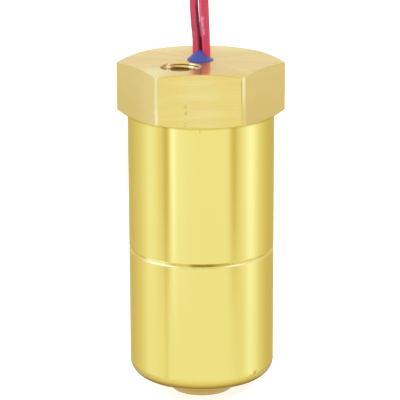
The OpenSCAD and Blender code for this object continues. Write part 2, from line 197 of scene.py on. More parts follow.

# %% [markdown]
# ## Adding a piece
# A new piece needs a mesh or a curve, a finish and a body to ride on. These lines could be
# written out for each piece, but then one is soon forgotten. One helper does them all, so no piece
# is left behind when the float moves.
#
# A round lead could be a swept mesh. A curve with a round bevel is shorter to write and stays
# smooth, and its points can still be moved by hand.

# %% Piece and curve helpers
def add_piece(name, data, material, body, replaced=()):
    piece = bpy.data.objects.new(name, data)
    scene.collection.objects.link(piece)
    data.materials.append(material)
    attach(piece, body)
    if replaced:
        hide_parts(*replaced)
    return piece


def round_curve(name, points, radius, roundness=5):
    """A smooth curve through the points, with a round section and closed ends."""
    curve = bpy.data.curves.new(name, "CURVE")
    curve.dimensions = "3D"
    curve.resolution_u = 4
    curve.bevel_depth = radius
    curve.bevel_resolution = roundness
    curve.use_fill_caps = True
    spline = curve.splines.new("BEZIER")
    spline.bezier_points.add(len(points) - 1)
    for knot, place in zip(spline.bezier_points, points):
        knot.co = place
        knot.handle_left_type = knot.handle_right_type = "AUTO"
    return curve


# %% [markdown]
# ## Helpers for finishes
# Every finish is a small tree of shader nodes round one Principled shader. It could be put together
# by hand in the shader editor, but a few helpers let the recipe be read from top to bottom. A value
# that is the same all over a surface is set on the shader's own socket, and only what varies is
# linked.
#
# Most recipes work with masks. A mask is a number from 0 to 1 over the surface, and a colour or a
# roughness is mixed in where it is 1.

# %% Node helpers
def new_material(name, **settings):
    material = bpy.data.materials.new(name)
    material.use_nodes = True
    shader = material.node_tree.nodes["Principled BSDF"]
    for socket, value in settings.items():
        shader.inputs[socket.replace("_", " ")].default_value = value
    return material, material.node_tree, shader


def add_node(tree, kind, **settings):
    node = tree.nodes.new(kind)
    for name, value in settings.items():
        if hasattr(node, name):
            setattr(node, name, value)
        else:
            node.inputs[name.replace("_", " ")].default_value = value
    return node


def feed(tree, socket, value):
    """Give a socket a number, a colour or another node's output."""
    if isinstance(value, (int, float)):
        socket.default_value = value
    elif isinstance(value, tuple):
        socket.default_value = (*value, 1)
    else:
        tree.links.new(value, socket)


def connect(tree, node, **sources):
    for name, source in sources.items():
        tree.links.new(source, node.inputs[name.replace("_", " ")])


def math_node(tree, operation, *values):
    node = add_node(tree, "ShaderNodeMath", operation=operation)
    for socket, value in zip(node.inputs, values):
        feed(tree, socket, value)
    return node.outputs[0]


def times(tree, product, *others):
    """The product of masks is 1 only where all of them are."""
    for other in others:
        product = math_node(tree, "MULTIPLY", product, other)
    return product


def step_between(tree, value, low, high, first=0.0, last=1.0):
    """A soft step from first to last while the value goes from low to high."""
    node = add_node(tree, "ShaderNodeMapRange", interpolation_type="SMOOTHSTEP")
    names = ("Value", "From Min", "From Max", "To Min", "To Max")
    for name, given in zip(names, (value, low, high, first, last)):
        feed(tree, node.inputs[name], given)
    return node.outputs["Result"]


def mix_colors(tree, share, first, second):
    """The first colour where the share is 0, and the second where it is 1."""
    node = add_node(tree, "ShaderNodeMix", data_type="RGBA")
    for name, given in zip(("Factor", "A", "B"), (share, first, second)):
        feed(tree, node.inputs[name], given)
    return [s for s in node.outputs if s.type == "RGBA"][0]


# %% [markdown]
# A mask needs something to start from: the place of a point on the surface, the direction that the
# surface faces there, or a cloudy noise. Painted masks would need an unwrapped mesh for each piece.
# These are read from the piece itself, so they stay right when its mesh is changed.

# %% Helpers that read the surface
def split(tree, vector):
    node = add_node(tree, "ShaderNodeSeparateXYZ")
    tree.links.new(vector, node.inputs[0])
    return node.outputs


def place_of(tree):
    """Place of a surface point, in metres, as in the frame."""
    return add_node(tree, "ShaderNodeTexCoord").outputs["Object"]


def facing_of(tree):
    """Direction that the surface faces, as x, y and z."""
    return split(tree, add_node(tree, "ShaderNodeNewGeometry").outputs["Normal"])


def noise(tree, place, scale, detail=3.0, roughness=0.5, stretch=(1, 1, 1)):
    """A cloudy number from 0 to 1, with about scale blotches in a metre."""
    spread = add_node(tree, "ShaderNodeMapping", Scale=stretch)
    connect(tree, spread, Vector=place)
    node = add_node(tree, "ShaderNodeTexNoise", Scale=scale, Detail=detail, Roughness=roughness)
    connect(tree, node, Vector=spread.outputs["Vector"])
    return node.outputs["Fac"]


def bump_from(tree, height, distance, strength=0.5, normal=None):
    """A normal that follows small heights without changing the mesh."""
    node = add_node(tree, "ShaderNodeBump", Distance=distance, Strength=strength)
    connect(tree, node, Height=height)
    if normal is not None:
        connect(tree, node, Normal=normal)
    return node.outputs["Normal"]


# %% [markdown]
# ## The leads' insulation
# The insulation is smooth red plastic with a soft sheen. Its colour comes from a slow noise that
# drifts between two reds, and a fine bump breaks the highlight as extruded plastic does. A thin
# coat would also give the sheen, but one shader with a medium roughness is simpler.
#
# Over the epoxy the two leads stand side by side, and each gets its own version of the finish.
# The left one has painted shade on the side that faces its neighbour, the right one a painted
# highlight there; both are painted lighter near the epoxy and have a speckled painted highlight
# higher up. The surface normal says which side a point is on, and its height and depth say how far
# each painted mark reaches.

# %% Insulation finish
# The dark red beside the other lead is painted shade; the bright red on the right lead's inner side and
# the lighter red near the epoxy are painted light; the pale pink is a speckled painted highlight.
lead_dark, lead_light = (0.50, 0.03, 0.075), (0.62, 0.05, 0.11)
low_painted_light_red, inner_painted_light_red = (0.70, 0.042, 0.105), (1.0, 0.13, 0.24)
crevice_painted_shade, painted_highlight_pink = (0.12, 0.008, 0.024), (0.86, 0.46, 0.58)
front_stretch_y = (4 * mm, 2 * mm)
low_painted_light_z = (96 * mm, 92 * mm)
side_end_z = (107 * mm, 102 * mm)
plastic_grain = 0.02 * mm
highlight_facing = (0.25, -0.35)
highlight_fade_in, highlight_fade_out = 0.8 * mm, 1.5 * mm
highlight_specks = (0.40, 0.62)
# Per lead: the painted shade of the left inner side, the painted light of the right one, and the heights
# and share of each speckled painted highlight.
left_inner = {"facing": (0.1, 0.6), "tone": crevice_painted_shade, "highlight_z": (93.6 * mm, 96.8 * mm), "highlight_share": 0.22}
right_inner = {"facing": (-0.3, -0.7), "tone": inner_painted_light_red, "highlight_z": (95 * mm, 101 * mm), "highlight_share": 0.8}


def inner_side_color(tree, place, color, inner):
    """Colour of a lead beside the other one, with its painted shade, light and highlight."""
    _, y, z = split(tree, place)
    facing_x = facing_of(tree)[0]
    in_front = step_between(tree, y, *front_stretch_y)
    # Painted light near the epoxy, painted shade and light on the inner sides, then the speckled painted
    # highlight.
    low_light = times(tree, step_between(tree, z, *low_painted_light_z), in_front)
    color = mix_colors(tree, low_light, color, low_painted_light_red)
    beside = step_between(tree, facing_x, *inner["facing"])
    standing = times(tree, in_front, step_between(tree, z, *side_end_z))
    color = mix_colors(tree, times(tree, beside, standing), color, inner["tone"])
    low_z, high_z = inner["highlight_z"]
    from_low = step_between(tree, z, low_z, low_z + highlight_fade_in)
    to_high = step_between(tree, z, high_z, high_z - highlight_fade_out)
    highlight_patch = times(tree, from_low, to_high, in_front, step_between(tree, facing_x, *highlight_facing))
    grain = noise(tree, place, 2200, 3, 0.6, (1, 1, 0.3))
    specks = step_between(tree, grain, *highlight_specks, 0.0, inner["highlight_share"])
    return mix_colors(tree, times(tree, highlight_patch, specks), color, painted_highlight_pink)


def lead_finish(name, inner=None):
    material, tree, shader = new_material(name, Roughness=0.36, IOR=1.5)
    place = place_of(tree)
    color = mix_colors(tree, noise(tree, place, 90, 2), lead_dark, lead_light)
    if inner:
        color = inner_side_color(tree, place, color, inner)
    grain = noise(tree, place, 2600, 3, 0.6)
    connect(tree, shader, Base_Color=color, Normal=bump_from(tree, grain, plastic_grain))
    return material


lead_red = lead_finish("lead_insulation")
left_red = lead_finish("left_lead_insulation", left_inner)
right_red = lead_finish("right_lead_insulation", right_inner)
print("insulation nodes:", [len(m.node_tree.nodes) for m in (lead_red, left_red, right_red)])

# %% [markdown]
# ## The tinned ends
# The leads' free ends are stripped, twisted and tinned. Each end is a bundle of seven strands: one
# straight in the middle and six that wind round it. One curve per strand would make many objects,
# so all the strands of both ends are splines of one curve.

# %% Tinned ends
tin_dark, tin_light = (0.6, 0.6, 0.61), (0.82, 0.82, 0.83)
strand_r = 0.134 * mm
strand_ring_r = 0.266 * mm
strands_round = 6
strand_steps = 24
tip_length = 7 * mm
tip_twist = 420


def tin_finish():
    material, tree, shader = new_material("tinned_core", Metallic=1.0, Roughness=0.28)
    patchy = noise(tree, place_of(tree), 1500, 2)
    color = mix_colors(tree, patchy, tin_dark, tin_light)
    connect(tree, shader, Base_Color=color, Roughness=step_between(tree, patchy, 0.3, 0.7, 0.2, 0.42))
    return material


def tip_strands(points):
    """Rows of points for one end: the straight strand, then the wound ones."""
    start, along = points[-1], (points[-1] - points[-2]).normalized()
    side = Vector((-along.y, along.x, 0))
    rows = [[start, start + along * tip_length]]
    for k in range(strands_round):
        row = []
        for i in range(strand_steps + 1):
            angle = radians(360 / strands_round * k + tip_twist * i / strand_steps)
            offset = side * cos(angle) + Vector((0, 0, 1)) * sin(angle)
            row.append(start + along * tip_length * i / strand_steps + offset * strand_ring_r)
        rows.append(row)
    return rows


tinned = tin_finish()
strands = tip_strands(left_points) + tip_strands(right_points)
tips = round_curve("tinned_tips", strands[0], strand_r, 2)
for row in strands[1:]:
    spline = tips.splines.new("POLY")
    spline.points.add(len(row) - 1)
    for knot, place in zip(spline.points, row):
        knot.co = (*place, 1)
tinned_tips = add_piece("tinned_tips", tips, tinned, "housing", ["lead_ends"])
print("strands:", len(strands))

# %% [markdown]
# ## The two cords
# Each lead is one curve along its points, the usual length of 24 inches, and it stands for the
# plain tubes and the plain ring of the CAD model. One object for both leads would be less, but then
# neither has a length or an end of its own.

# %% Make the two cords
left_lead = add_piece(
    "left_lead", round_curve("left_lead", left_points, lead_r), left_red, "housing",
    ["lead_left", "leads_coil"],
)
right_lead = add_piece(
    "right_lead", round_curve("right_lead", right_points, lead_r), right_red, "housing",
    ["lead_right"],
)

# %% [markdown]
# ## The web between the leads
# Low down, where the leads leave the epoxy, a narrow dark web closes the gap between them. It is
# painted shade: a dark sheet that stands for the shade between the leads, so no light from behind
# shows there. It is a lens in plan that gets thinner towards its top. A scaled cylinder would be too
# plain at its ends, so a few rings of points make it.

# %% Web between the leads
web_shade_red = (0.30, 0.014, 0.05)
web_middle = (0.18 * mm, 0.1 * mm)
web_half = (0.19 * mm, 0.4 * mm)
web_low_z, web_h = 90.5 * mm, 4.2 * mm
web_lean = 0.1 * mm
web_thinning = 0.7
web_rings, web_sides = 8, 16


def mesh_from(name, points, faces, smooth=True):
    mesh = bpy.data.meshes.new(name)
    mesh.from_pydata([tuple(p) for p in points], [], faces)
    mesh.validate()
    if smooth:
        mesh.shade_smooth()
    else:
        mesh.shade_flat()
    return mesh


def web_mesh():
    points, faces = [], []
    for i in range(web_rings):
        share = i / (web_rings - 1)
        depth = web_half[1] * (1 - web_thinning * share)
        for k in range(web_sides):
            angle = 2 * pi * k / web_sides
            x = web_middle[0] - web_lean * share + web_half[0] * cos(angle)
            y = web_middle[1] + depth * sin(angle)
            points.append((x, y, web_low_z + web_h * share))
    for i in range(web_rings - 1):
        low, high = i * web_sides, (i + 1) * web_sides
        around = [(k, (k + 1) % web_sides) for k in range(web_sides)]
        faces += [(low + a, low + b, high + b, high + a) for a, b in around]
    faces.append(tuple(reversed(range(web_sides))))
    faces.append(tuple(range(len(points) - web_sides, len(points))))
    return mesh_from("shade_web", points, faces)


# The web's dark reds are painted shade.
def shade_web_finish():
    material, tree, shader = new_material("shade_web_dark", Roughness=0.5, IOR=1.5)
    place = place_of(tree)
    color = mix_colors(tree, noise(tree, place, 900, 2), crevice_painted_shade, web_shade_red)
    grain = noise(tree, place, 2600, 3)
    connect(tree, shader, Base_Color=color, Normal=bump_from(tree, grain, plastic_grain))
    return material


shade_web = add_piece("shade_web", web_mesh(), shade_web_finish(), "housing")
print("web faces:", len(shade_web.data.polygons))

# %% [markdown]
# ## The epoxy
# Blue epoxy fills the stem and rises in a small pool round the leads. Liquid creeps up what it
# wets, so its flanks are hollow and its rim is thin. A fluid simulation could make such a pool,
# but a surface of rings is easier to steer: each ring goes a share of the way from the peak to the
# rim, and the height falls along a curve. The peak is blunt, the flank a little lumpy and the rim
# not quite an ellipse, as in anything poured by hand. The same mesh goes on down as the plug in the
# stem.

# %% Epoxy mesh
pool_middle = Vector((-0.15, -0.4)) * mm
pool_half = (3.35 * mm, 3.8 * mm)
pool_peak = Vector((-0.35, -0.9)) * mm
peak_h = 2.75 * mm
hollow = 1.65
hollow_swing = 0.5
shoulder = 0.25
rim_wobble = 0.02
tip_round = 0.12
lump_h = 0.02
plug_r = 2.775 * mm
plug_low_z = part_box("stem_potting")[0].z
pool_rings = 22
pool_sides = 72


def rim_point(angle):
    """Where a ray from the peak meets the rim, an ellipse with three broad and seven small waves."""
    ray = Vector((cos(angle), sin(angle)))
    start = pool_peak - pool_middle
    a = (ray.x / pool_half[0]) ** 2 + (ray.y / pool_half[1]) ** 2
    b = start.x * ray.x / pool_half[0] ** 2 + start.y * ray.y / pool_half[1] ** 2
    c = (start.x / pool_half[0]) ** 2 + (start.y / pool_half[1]) ** 2 - 1
    uneven = 1 + rim_wobble * (sin(3 * angle + 1) + 0.6 * sin(7 * angle))
    return pool_peak + ray * uneven * (-b + sqrt(b * b - a * c)) / a


def pool_height(share, angle):
    """Height of the pool's skin, from 1 at the peak to 0 at the rim."""
    power = hollow + hollow_swing * cos(angle)
    blunt = (sqrt(share * share + tip_round ** 2) - tip_round) / (sqrt(1 + tip_round ** 2) - tip_round)
    lump = lump_h * sin(pi * share) * sin(2 * angle + 7 * share)
    return (1 - shoulder) * (1 - blunt) ** power + shoulder * sqrt(1 - share * share) + lump


def epoxy_rings():
    """Rings of points from the peak out to the rim, then down the stem."""
    rings = []
    angles = [2 * pi * k / pool_sides for k in range(pool_sides)]
    for i in range(1, pool_rings + 1):
        share = i / pool_rings
        rings.append([
            (*pool_peak.lerp(rim_point(a), share), head_top_z + peak_h * pool_height(share, a))
            for a in angles
        ])
    for z in (head_top_z, plug_low_z):
        rings.append([(plug_r * cos(a), plug_r * sin(a), z) for a in angles])
    return rings


def epoxy_mesh():
    rings = epoxy_rings()
    points = [(*pool_peak, head_top_z + peak_h)] + [p for ring in rings for p in ring]
    points.append((0, 0, plug_low_z))
    around = [(k, (k + 1) % pool_sides) for k in range(pool_sides)]
    faces = [(0, 1 + a, 1 + b) for a, b in around]
    for i in range(len(rings) - 1):
        first, second = 1 + i * pool_sides, 1 + (i + 1) * pool_sides
        faces += [(first + a, second + a, second + b, first + b) for a, b in around]
    last, end = 1 + (len(rings) - 1) * pool_sides, len(points) - 1
    faces += [(end, last + b, last + a) for a, b in around]
    return mesh_from("epoxy_fill", points, faces)


pool_size = (2 * pool_half[0], 2 * pool_half[1], peak_h)
print("pool, mm wide, deep and high:", [round(v / mm, 2) for v in pool_size])

# %% [markdown]
# Cured epoxy is glossy and lets a little light in. It could be a clear blue solid with depth, but
# this resin is filled and looks opaque. So the blue is mixed from two close tones by a soft noise,
# with a little light under the skin, and a faint ripple keeps its highlight from looking like glass.

# %% Epoxy finish
epoxy_dark, epoxy_light = (0.021, 0.043, 0.26), (0.05, 0.080, 0.37)
epoxy_light_depth = (0.3 * mm, 0.4 * mm, 0.9 * mm)
ripple_h = 0.06 * mm


def epoxy_finish():
    material, tree, shader = new_material(
        "blue_epoxy", Roughness=0.3, IOR=1.52, Subsurface_Weight=0.1,
        Subsurface_Radius=epoxy_light_depth, Subsurface_Scale=1.0,
    )
    place = place_of(tree)
    color = mix_colors(tree, noise(tree, place, 700, 3), epoxy_dark, epoxy_light)
    ripple = bump_from(tree, noise(tree, place, 900, 2), ripple_h)
    connect(tree, shader, Base_Color=color, Normal=ripple)
    return material


epoxy = add_piece(
    "epoxy_fill", epoxy_mesh(), epoxy_finish(), "housing", ["stem_potting"],
)
print("epoxy faces:", len(epoxy.data.polygons))

# %% [markdown]
# ## Brass
# The housing is turned from bar. Metal takes its look from what it mirrors, so the colours stay
# close to one yellow and the work goes into the surface: fine rings left by the lathe, straight
# brushing on the six flats, soft sweeps on the faced top, and a few small marks on the front. Some
# light and shade is painted in too: tones for the side each flat faces, painted light at the back
# of the top, painted highlights by its front left corner, on the corners and on the seam, a line of
# painted shade under the head, and two painted highlight streaks in the port's bore, which keeps
# some brown oxide.
#
# One material covers the whole piece, because the CAD mesh has one slot, so each of these areas is
# a mask. A picture painted on the surface could hold the same marks, but masks stay sharp at any
# distance and need no unwrapping. First come the masks that follow the turned shape. A streak in
# the port is given by its middle and its half width, as angles round the port's axis.

# %% Masks of the turned shape
edge_fade = 0.1 * mm
seam_half = (0.66 * mm, 0.62 * mm)
seam_depth_r = (19.04 * mm, 18.98 * mm)
seam_sides = (17.5 * mm, 14 * mm, 0.2, 1.0)
bore_wall = (0.3 * mm, 0.02 * mm)
streak_places = [(-41, 7.5), (34, 9)]
streak_edge = (1.3, 0.7)


def outside(tree, mask):
    return math_node(tree, "SUBTRACT", 1.0, mask)


def away_from(tree, value, middle):
    """Distance from the middle, on either side of it."""
    return math_node(tree, "ABSOLUTE", math_node(tree, "SUBTRACT", value, middle))


def from_axis(tree, xyz, centre):
    """x and y as seen from an upright axis through the centre."""
    return [math_node(tree, "SUBTRACT", xyz[k], centre[k]) for k in (0, 1)]


def radius_from(tree, xy):
    squares = [times(tree, xy[k], xy[k]) for k in (0, 1)]
    return math_node(tree, "SQRT", math_node(tree, "ADD", *squares))


def in_seam(tree, xyz):
    """Mask for the painted highlight on the seam's two chamfers, weaker at the sides."""
    near = step_between(tree, away_from(tree, xyz[2], seam_z), *seam_half)
    inside = step_between(tree, radius_from(tree, xyz), *seam_depth_r)
    sides = step_between(tree, math_node(tree, "ABSOLUTE", xyz[0]), *seam_sides)
    return times(tree, near, inside, sides)


def in_bore(tree, xyz, port, low_z, high_z):
    """Mask for a port's bore, which keeps some brown oxide and cutting oil."""
    radius = radius_from(tree, from_axis(tree, xyz, mounts[port]["pos_m"]))
    past, within = [mounts[port]["dims"]["r_mm"] * mm + wall for wall in bore_wall]
    above = step_between(tree, xyz[2], low_z, low_z + edge_fade)
    below = step_between(tree, xyz[2], high_z, high_z - edge_fade)
    return times(tree, step_between(tree, radius, past, within), above, below)


def painted_highlight_streaks(tree, xyz, port):
    """Mask for two upright painted highlight streaks on a bore's far wall."""
    angle = math_node(tree, "ARCTAN2", *from_axis(tree, xyz, mounts[port]["pos_m"]))
    mask = 0.0
    for middle, half in streak_places:
        outer, inner = [radians(edge * half) for edge in streak_edge]
        streak = step_between(tree, away_from(tree, angle, radians(middle)), outer, inner)
        mask = math_node(tree, "MAXIMUM", mask, streak)
    return mask


print("seam band, mm:", round(2 * seam_half[1] / mm, 2), "streaks:", len(streak_places))

# %% [markdown]
# The next masks belong to the hexagon head and to the small marks. The surface normal tells the top
# from the flats, and the angle round the axis finds the corners. The corners get a painted
# highlight: the right front one at its upper end and the left one along its whole length, mostly at
# its lower end. So the highlight grows with x times the height over the head's middle, which changes
# sign from one corner to the other. A mask for each corner would be easier to think of, but there
# would be six of them.

# %% Masks of the head and the marks
top_facing = (0.8, 0.9)
side_facing = (0.2, 0.7)
corner_half = (radians(1.25), radians(0.6))
highlight_swing = 40 * mm * mm
left_highlight = (-5 * mm, 5 * mm, 0.7, 0.0)
gleam_middle, gleam_r = (-12 * mm, -15.5 * mm), 8 * mm
front_side_y = (-10 * mm, -11 * mm)
mark_edge = (1.3, 0.6)
head_pits = ((-3.6 * mm, 78.2 * mm), (0.42 * mm, 2.9 * mm))
sleeve_tick = ((0, 74.4 * mm), (0.14 * mm, 0.5 * mm))
corner_line = ((10.4 * mm, 84.4 * mm), (0.15 * mm, 3.4 * mm))
bowl_nick = ((13.95 * mm, 8.3 * mm), (0.4 * mm, 0.5 * mm))


def head_areas(tree, xyz):
    """Masks for the top, the six flats, the corners' painted highlight and what faces sideways."""
    facing = facing_of(tree)
    on_top = step_between(tree, facing[2], *top_facing)
    on_head = step_between(tree, xyz[2], head_low_z - edge_fade, head_low_z + edge_fade)
    on_flats = times(tree, on_head, outside(tree, on_top))
    turn = math_node(tree, "PINGPONG", math_node(tree, "ARCTAN2", xyz[1], xyz[0]), radians(30))
    from_middle = math_node(tree, "SUBTRACT", xyz[2], head_low_z + head_h / 2)
    highlit = step_between(tree, times(tree, xyz[0], from_middle), -highlight_swing, highlight_swing)
    highlit = math_node(tree, "MAXIMUM", highlit, step_between(tree, xyz[0], *left_highlight))
    highlit_corners = times(tree, on_flats, step_between(tree, turn, *corner_half), highlit)
    sideways = step_between(tree, math_node(tree, "ABSOLUTE", facing[0]), *side_facing)
    return on_top, on_flats, highlit_corners, sideways


def corner_painted_highlight(tree, xyz):
    """Mask for a painted highlight on the top face beside its front left corner."""
    return step_between(tree, radius_from(tree, from_axis(tree, xyz, gleam_middle)), gleam_r, 0)


def front_mark(tree, xyz, middle, half):
    """Mask for a small soft mark on the front, by x and z."""
    mask = step_between(tree, xyz[1], *front_side_y)
    for place, centre, reach in zip((xyz[0], xyz[2]), middle, half):
        outer, inner = [edge * reach for edge in mark_edge]
        mask = times(tree, mask, step_between(tree, away_from(tree, place, centre), outer, inner))
    return mask


def small_marks(tree, place, xyz):
    """Mask for the marks on the front: a row of pits, a tick and a thin line."""
    pits = step_between(tree, noise(tree, place, 1300, 1, 0.5, (0.3, 0.3, 1.2)), 0.48, 0.58)
    marks = times(tree, pits, front_mark(tree, xyz, *head_pits))
    marks = math_node(tree, "MAXIMUM", marks, front_mark(tree, xyz, *sleeve_tick))
    return math_node(tree, "MAXIMUM", marks, front_mark(tree, xyz, *corner_line))


print("worn corner, mm wide:", round(2 * corner_half[1] * housing_high.x / mm, 2))

# %% [markdown]
# Every brass starts from the same two yellows. The lathe leaves uneven fine rings round the axis,
# which are a noise squeezed along z. The flats keep the long lines of the drawn bar, a noise that is
# stretched sideways. On the faced top the tool has left sweeps that run out from the middle. A
# picture of brushed brass could give all three, but a noise has no edge and never repeats.

# %% Textures of brass
brass_color, brass_pale = (0.872, 0.765, 0.232), (0.885, 0.785, 0.258)
ring_pitch = 0.16 * mm
edge_r = 0.18 * mm
groove_depth = 0.004 * mm


def brass_base(name, roughness):
    material, tree, shader = new_material(name, Metallic=1.0, Roughness=roughness)
    place = place_of(tree)
    color = mix_colors(tree, noise(tree, place, 55, 3), brass_color, brass_pale)
    return material, tree, shader, place, color


def lathe_rings(tree, place):
    """Uneven fine grooves that run round the axis."""
    return noise(tree, place, 1 / (4 * ring_pitch), 4, 0.7, (0.002, 0.002, 4))


def bar_lines(tree, place):
    """Fine level lines, as the bar's flats keep them."""
    return noise(tree, place, 900, 4, 0.65, (0.05, 0.05, 4))


def facing_fan(tree, place):
    """Soft sweeps that run out from the middle of the top face."""
    flat = add_node(tree, "ShaderNodeVectorMath", operation="MULTIPLY")
    flat.inputs[1].default_value = (1, 1, 0)
    tree.links.new(place, flat.inputs[0])
    ray = add_node(tree, "ShaderNodeVectorMath", operation="NORMALIZE")
    tree.links.new(flat.outputs[0], ray.inputs[0])
    return noise(tree, ray.outputs[0], 2.6, 2)


def rounded_normal(tree):
    """The normal with the sharp edges rounded, in the shading only."""
    return add_node(tree, "ShaderNodeBevel", samples=4, Radius=edge_r).outputs["Normal"]


print("lathe rings, mm apart:", round(ring_pitch / mm, 2))

# %% [markdown]
# ## The housing's finish
# The flats are matt where they were rubbed along the bar, and each gets a tone for the side it
# faces, which is painted light and shade: a painted highlight down the front flat's middle and by
# the left corner, and side flats painted darker lower down. The top is ground with a fine speckle,
# so it mirrors the leads only softly. Real scratches could be cut into the mesh, but at this size
# they would be lost, and a bump of a few thousandths of a millimetre is enough. A Bevel node rounds
# the edges in the shading, which gives them their thin highlight. The marks are mixed in one after
# the other, the last one on top.

# %% Housing finish
# The front flat's paler middle is a painted highlight; the side flats' tones are painted light, with
# painted shade lower down and a painted highlight by the left corner.
flat_front, front_flat_painted_highlight, flat_dark = (0.88, 0.73, 0.255), (0.89, 0.775, 0.315), (0.85, 0.665, 0.20)
side_flat_painted_light, side_flat_painted_shade = (0.93, 0.815, 0.45), (0.89, 0.765, 0.395)
side_flat_painted_highlight = (0.99, 0.91, 0.56)
# The lighter tone at the back of the top is painted light.
top_light, top_dark, top_back_painted_light = (0.94, 0.86, 0.38), (0.90, 0.785, 0.325), (1.0, 0.96, 0.47)
# The cream, bright and pale tones here are painted highlights.
painted_highlight_cream, painted_highlight_brass, seam_painted_highlight = (1.0, 1.0, 0.60), (1.0, 0.98, 0.58), (0.90, 0.83, 0.40)
# The darker tone just under the head is painted shade.
bore_brown, under_head_painted_shade, mark_dark = (0.76, 0.55, 0.24), (0.78, 0.65, 0.16), (0.45, 0.30, 0.10)
pale_middle_x = (1 * mm, 8 * mm)
left_flat_x = (0, -5 * mm)
beside_corner_x = (-17 * mm, -11.5 * mm)
back_y = (6 * mm, 17 * mm)
under_head_shade_reach = (0.55 * mm, 0.2 * mm)
line_share = 0.5
line_step = (0.40, 0.60, 0.0, 0.62)
lines_less_sideways = -0.8
mark_strength = 0.4
turned_roughness, more_on_flats, more_on_corners = 0.12, 0.12, 0.14
top_speckle = (0.35, 0.65, 0.02, 0.34)


def flats_color(tree, place, xyz, sideways, lines):
    """Colour of the six flats: painted light and shade for the side each faces, and the bar's lines."""
    off_middle = step_between(tree, math_node(tree, "ABSOLUTE", xyz[0]), *pale_middle_x)
    front_tone = mix_colors(tree, off_middle, front_flat_painted_highlight, flat_front)
    downwards = step_between(tree, xyz[2], head_top_z, head_low_z)
    side_tone = mix_colors(tree, downwards, side_flat_painted_light, side_flat_painted_shade)
    on_left = step_between(tree, xyz[0], *left_flat_x)
    by_corner = times(tree, step_between(tree, xyz[0], *beside_corner_x), on_left)
    side_tone = mix_colors(tree, by_corner, side_tone, side_flat_painted_highlight)
    tone = mix_colors(tree, sideways, front_tone, side_tone)
    broad = times(tree, noise(tree, place, 210, 3, 0.6, (0.3, 0.3, 2.2)), line_share)
    streaks = step_between(tree, math_node(tree, "MULTIPLY_ADD", lines, line_share, broad), *line_step)
    fewer = math_node(tree, "MULTIPLY_ADD", sideways, lines_less_sideways, 1.0)
    return mix_colors(tree, times(tree, streaks, fewer), tone, flat_dark)


def housing_color(tree, place, xyz, color, areas, lines):
    """The brass with every area's own tone mixed in."""
    on_top, on_flats, highlit_corners, sideways = areas
    sweeps = step_between(tree, facing_fan(tree, place), 0.35, 0.65)
    # Painted shade just under the head.
    under_head_shade = step_between(tree, away_from(tree, xyz[2], head_low_z), *under_head_shade_reach)
    streaks = painted_highlight_streaks(tree, xyz, "top_port")
    # Painted light on the top's back, painted highlights by its front left corner, on the corners, on the
    # seam and as streaks in the bore, and painted shade under the head.
    for mask, tone in (
        (on_flats, flats_color(tree, place, xyz, sideways, lines)),
        (on_top, mix_colors(tree, sweeps, top_light, top_dark)),
        (times(tree, on_top, step_between(tree, xyz[1], *back_y)), top_back_painted_light),
        (times(tree, on_top, corner_painted_highlight(tree, xyz)), painted_highlight_cream),
        (highlit_corners, painted_highlight_brass),
        (in_seam(tree, xyz), seam_painted_highlight),
        (under_head_shade, under_head_painted_shade),
        (in_bore(tree, xyz, "top_port", head_low_z, head_top_z),
         mix_colors(tree, streaks, bore_brown, painted_highlight_brass)),
        (times(tree, small_marks(tree, place, xyz), mark_strength), mark_dark),
    ):
        color = mix_colors(tree, mask, color, tone)
    return color


def housing_finish():
    material, tree, shader, place, color = brass_base("housing_brass", turned_roughness)
    xyz = split(tree, place)
    areas = head_areas(tree, xyz)
    on_top, on_flats, highlit_corners, _ = areas
    lines = bar_lines(tree, place)
    turned = times(tree, lathe_rings(tree, place), outside(tree, on_flats))
    fine = math_node(tree, "ADD", turned, times(tree, lines, on_flats))
    depth = times(tree, fine, outside(tree, on_top))
    speckle = step_between(tree, noise(tree, place, 9000, 2), *top_speckle)
    rough = math_node(tree, "MULTIPLY_ADD", on_flats, more_on_flats, turned_roughness)
    rough = math_node(tree, "MULTIPLY_ADD", on_top, speckle, rough)
    rough = math_node(tree, "MULTIPLY_ADD", highlit_corners, more_on_corners, rough)
    connect(
        tree, shader, Base_Color=housing_color(tree, place, xyz, color, areas, lines), Roughness=rough,
        Normal=bump_from(tree, depth, groove_depth, normal=rounded_normal(tree)),
    )
    return material


housing_brass = housing_finish()
print("housing finish nodes:", len(housing_brass.node_tree.nodes))

# %% [markdown]
# ## The bowl's finish
# The bowl is turned all over, so it needs only the rings, its half of the seam's painted highlight,
# the brown bore of its own port and one nick at the foot. It could share the housing's material, but
# then the head's masks would be worked out here for nothing.

# %% Bowl finish
nick_brown = (0.62, 0.42, 0.07)
nick_strength = 0.75
bottom_bore_z = (0, 10 * mm)


def bowl_finish():
    material, tree, shader, place, color = brass_base("bowl_brass", turned_roughness)
    xyz = split(tree, place)
    # The seam's pale tone is a painted highlight.
    for mask, tone in (
        (in_seam(tree, xyz), seam_painted_highlight),
        (in_bore(tree, xyz, "bottom_port", *bottom_bore_z), bore_brown),
        (times(tree, front_mark(tree, xyz, *bowl_nick), nick_strength), nick_brown),
    ):
        color = mix_colors(tree, mask, color, tone)
    grooves = bump_from(tree, lathe_rings(tree, place), groove_depth, normal=rounded_normal(tree))
    connect(tree, shader, Base_Color=color, Normal=grooves)
    return material


bowl_brass = bowl_finish()
print("bowl finish nodes:", len(bowl_brass.node_tree.nodes))

# %% [markdown]
# ## Pipe threads
# Both ports have a taper pipe thread with 27 turns to the inch. The CAD bores have the radius of
# the thread's root, and the thread stands inwards from it. A Screw modifier could wind a profile,
# but a mesh swept along a helix lets the first and last turn fade into the wall. Its faces are
# shaded smooth along the helix and sharp at the crest.

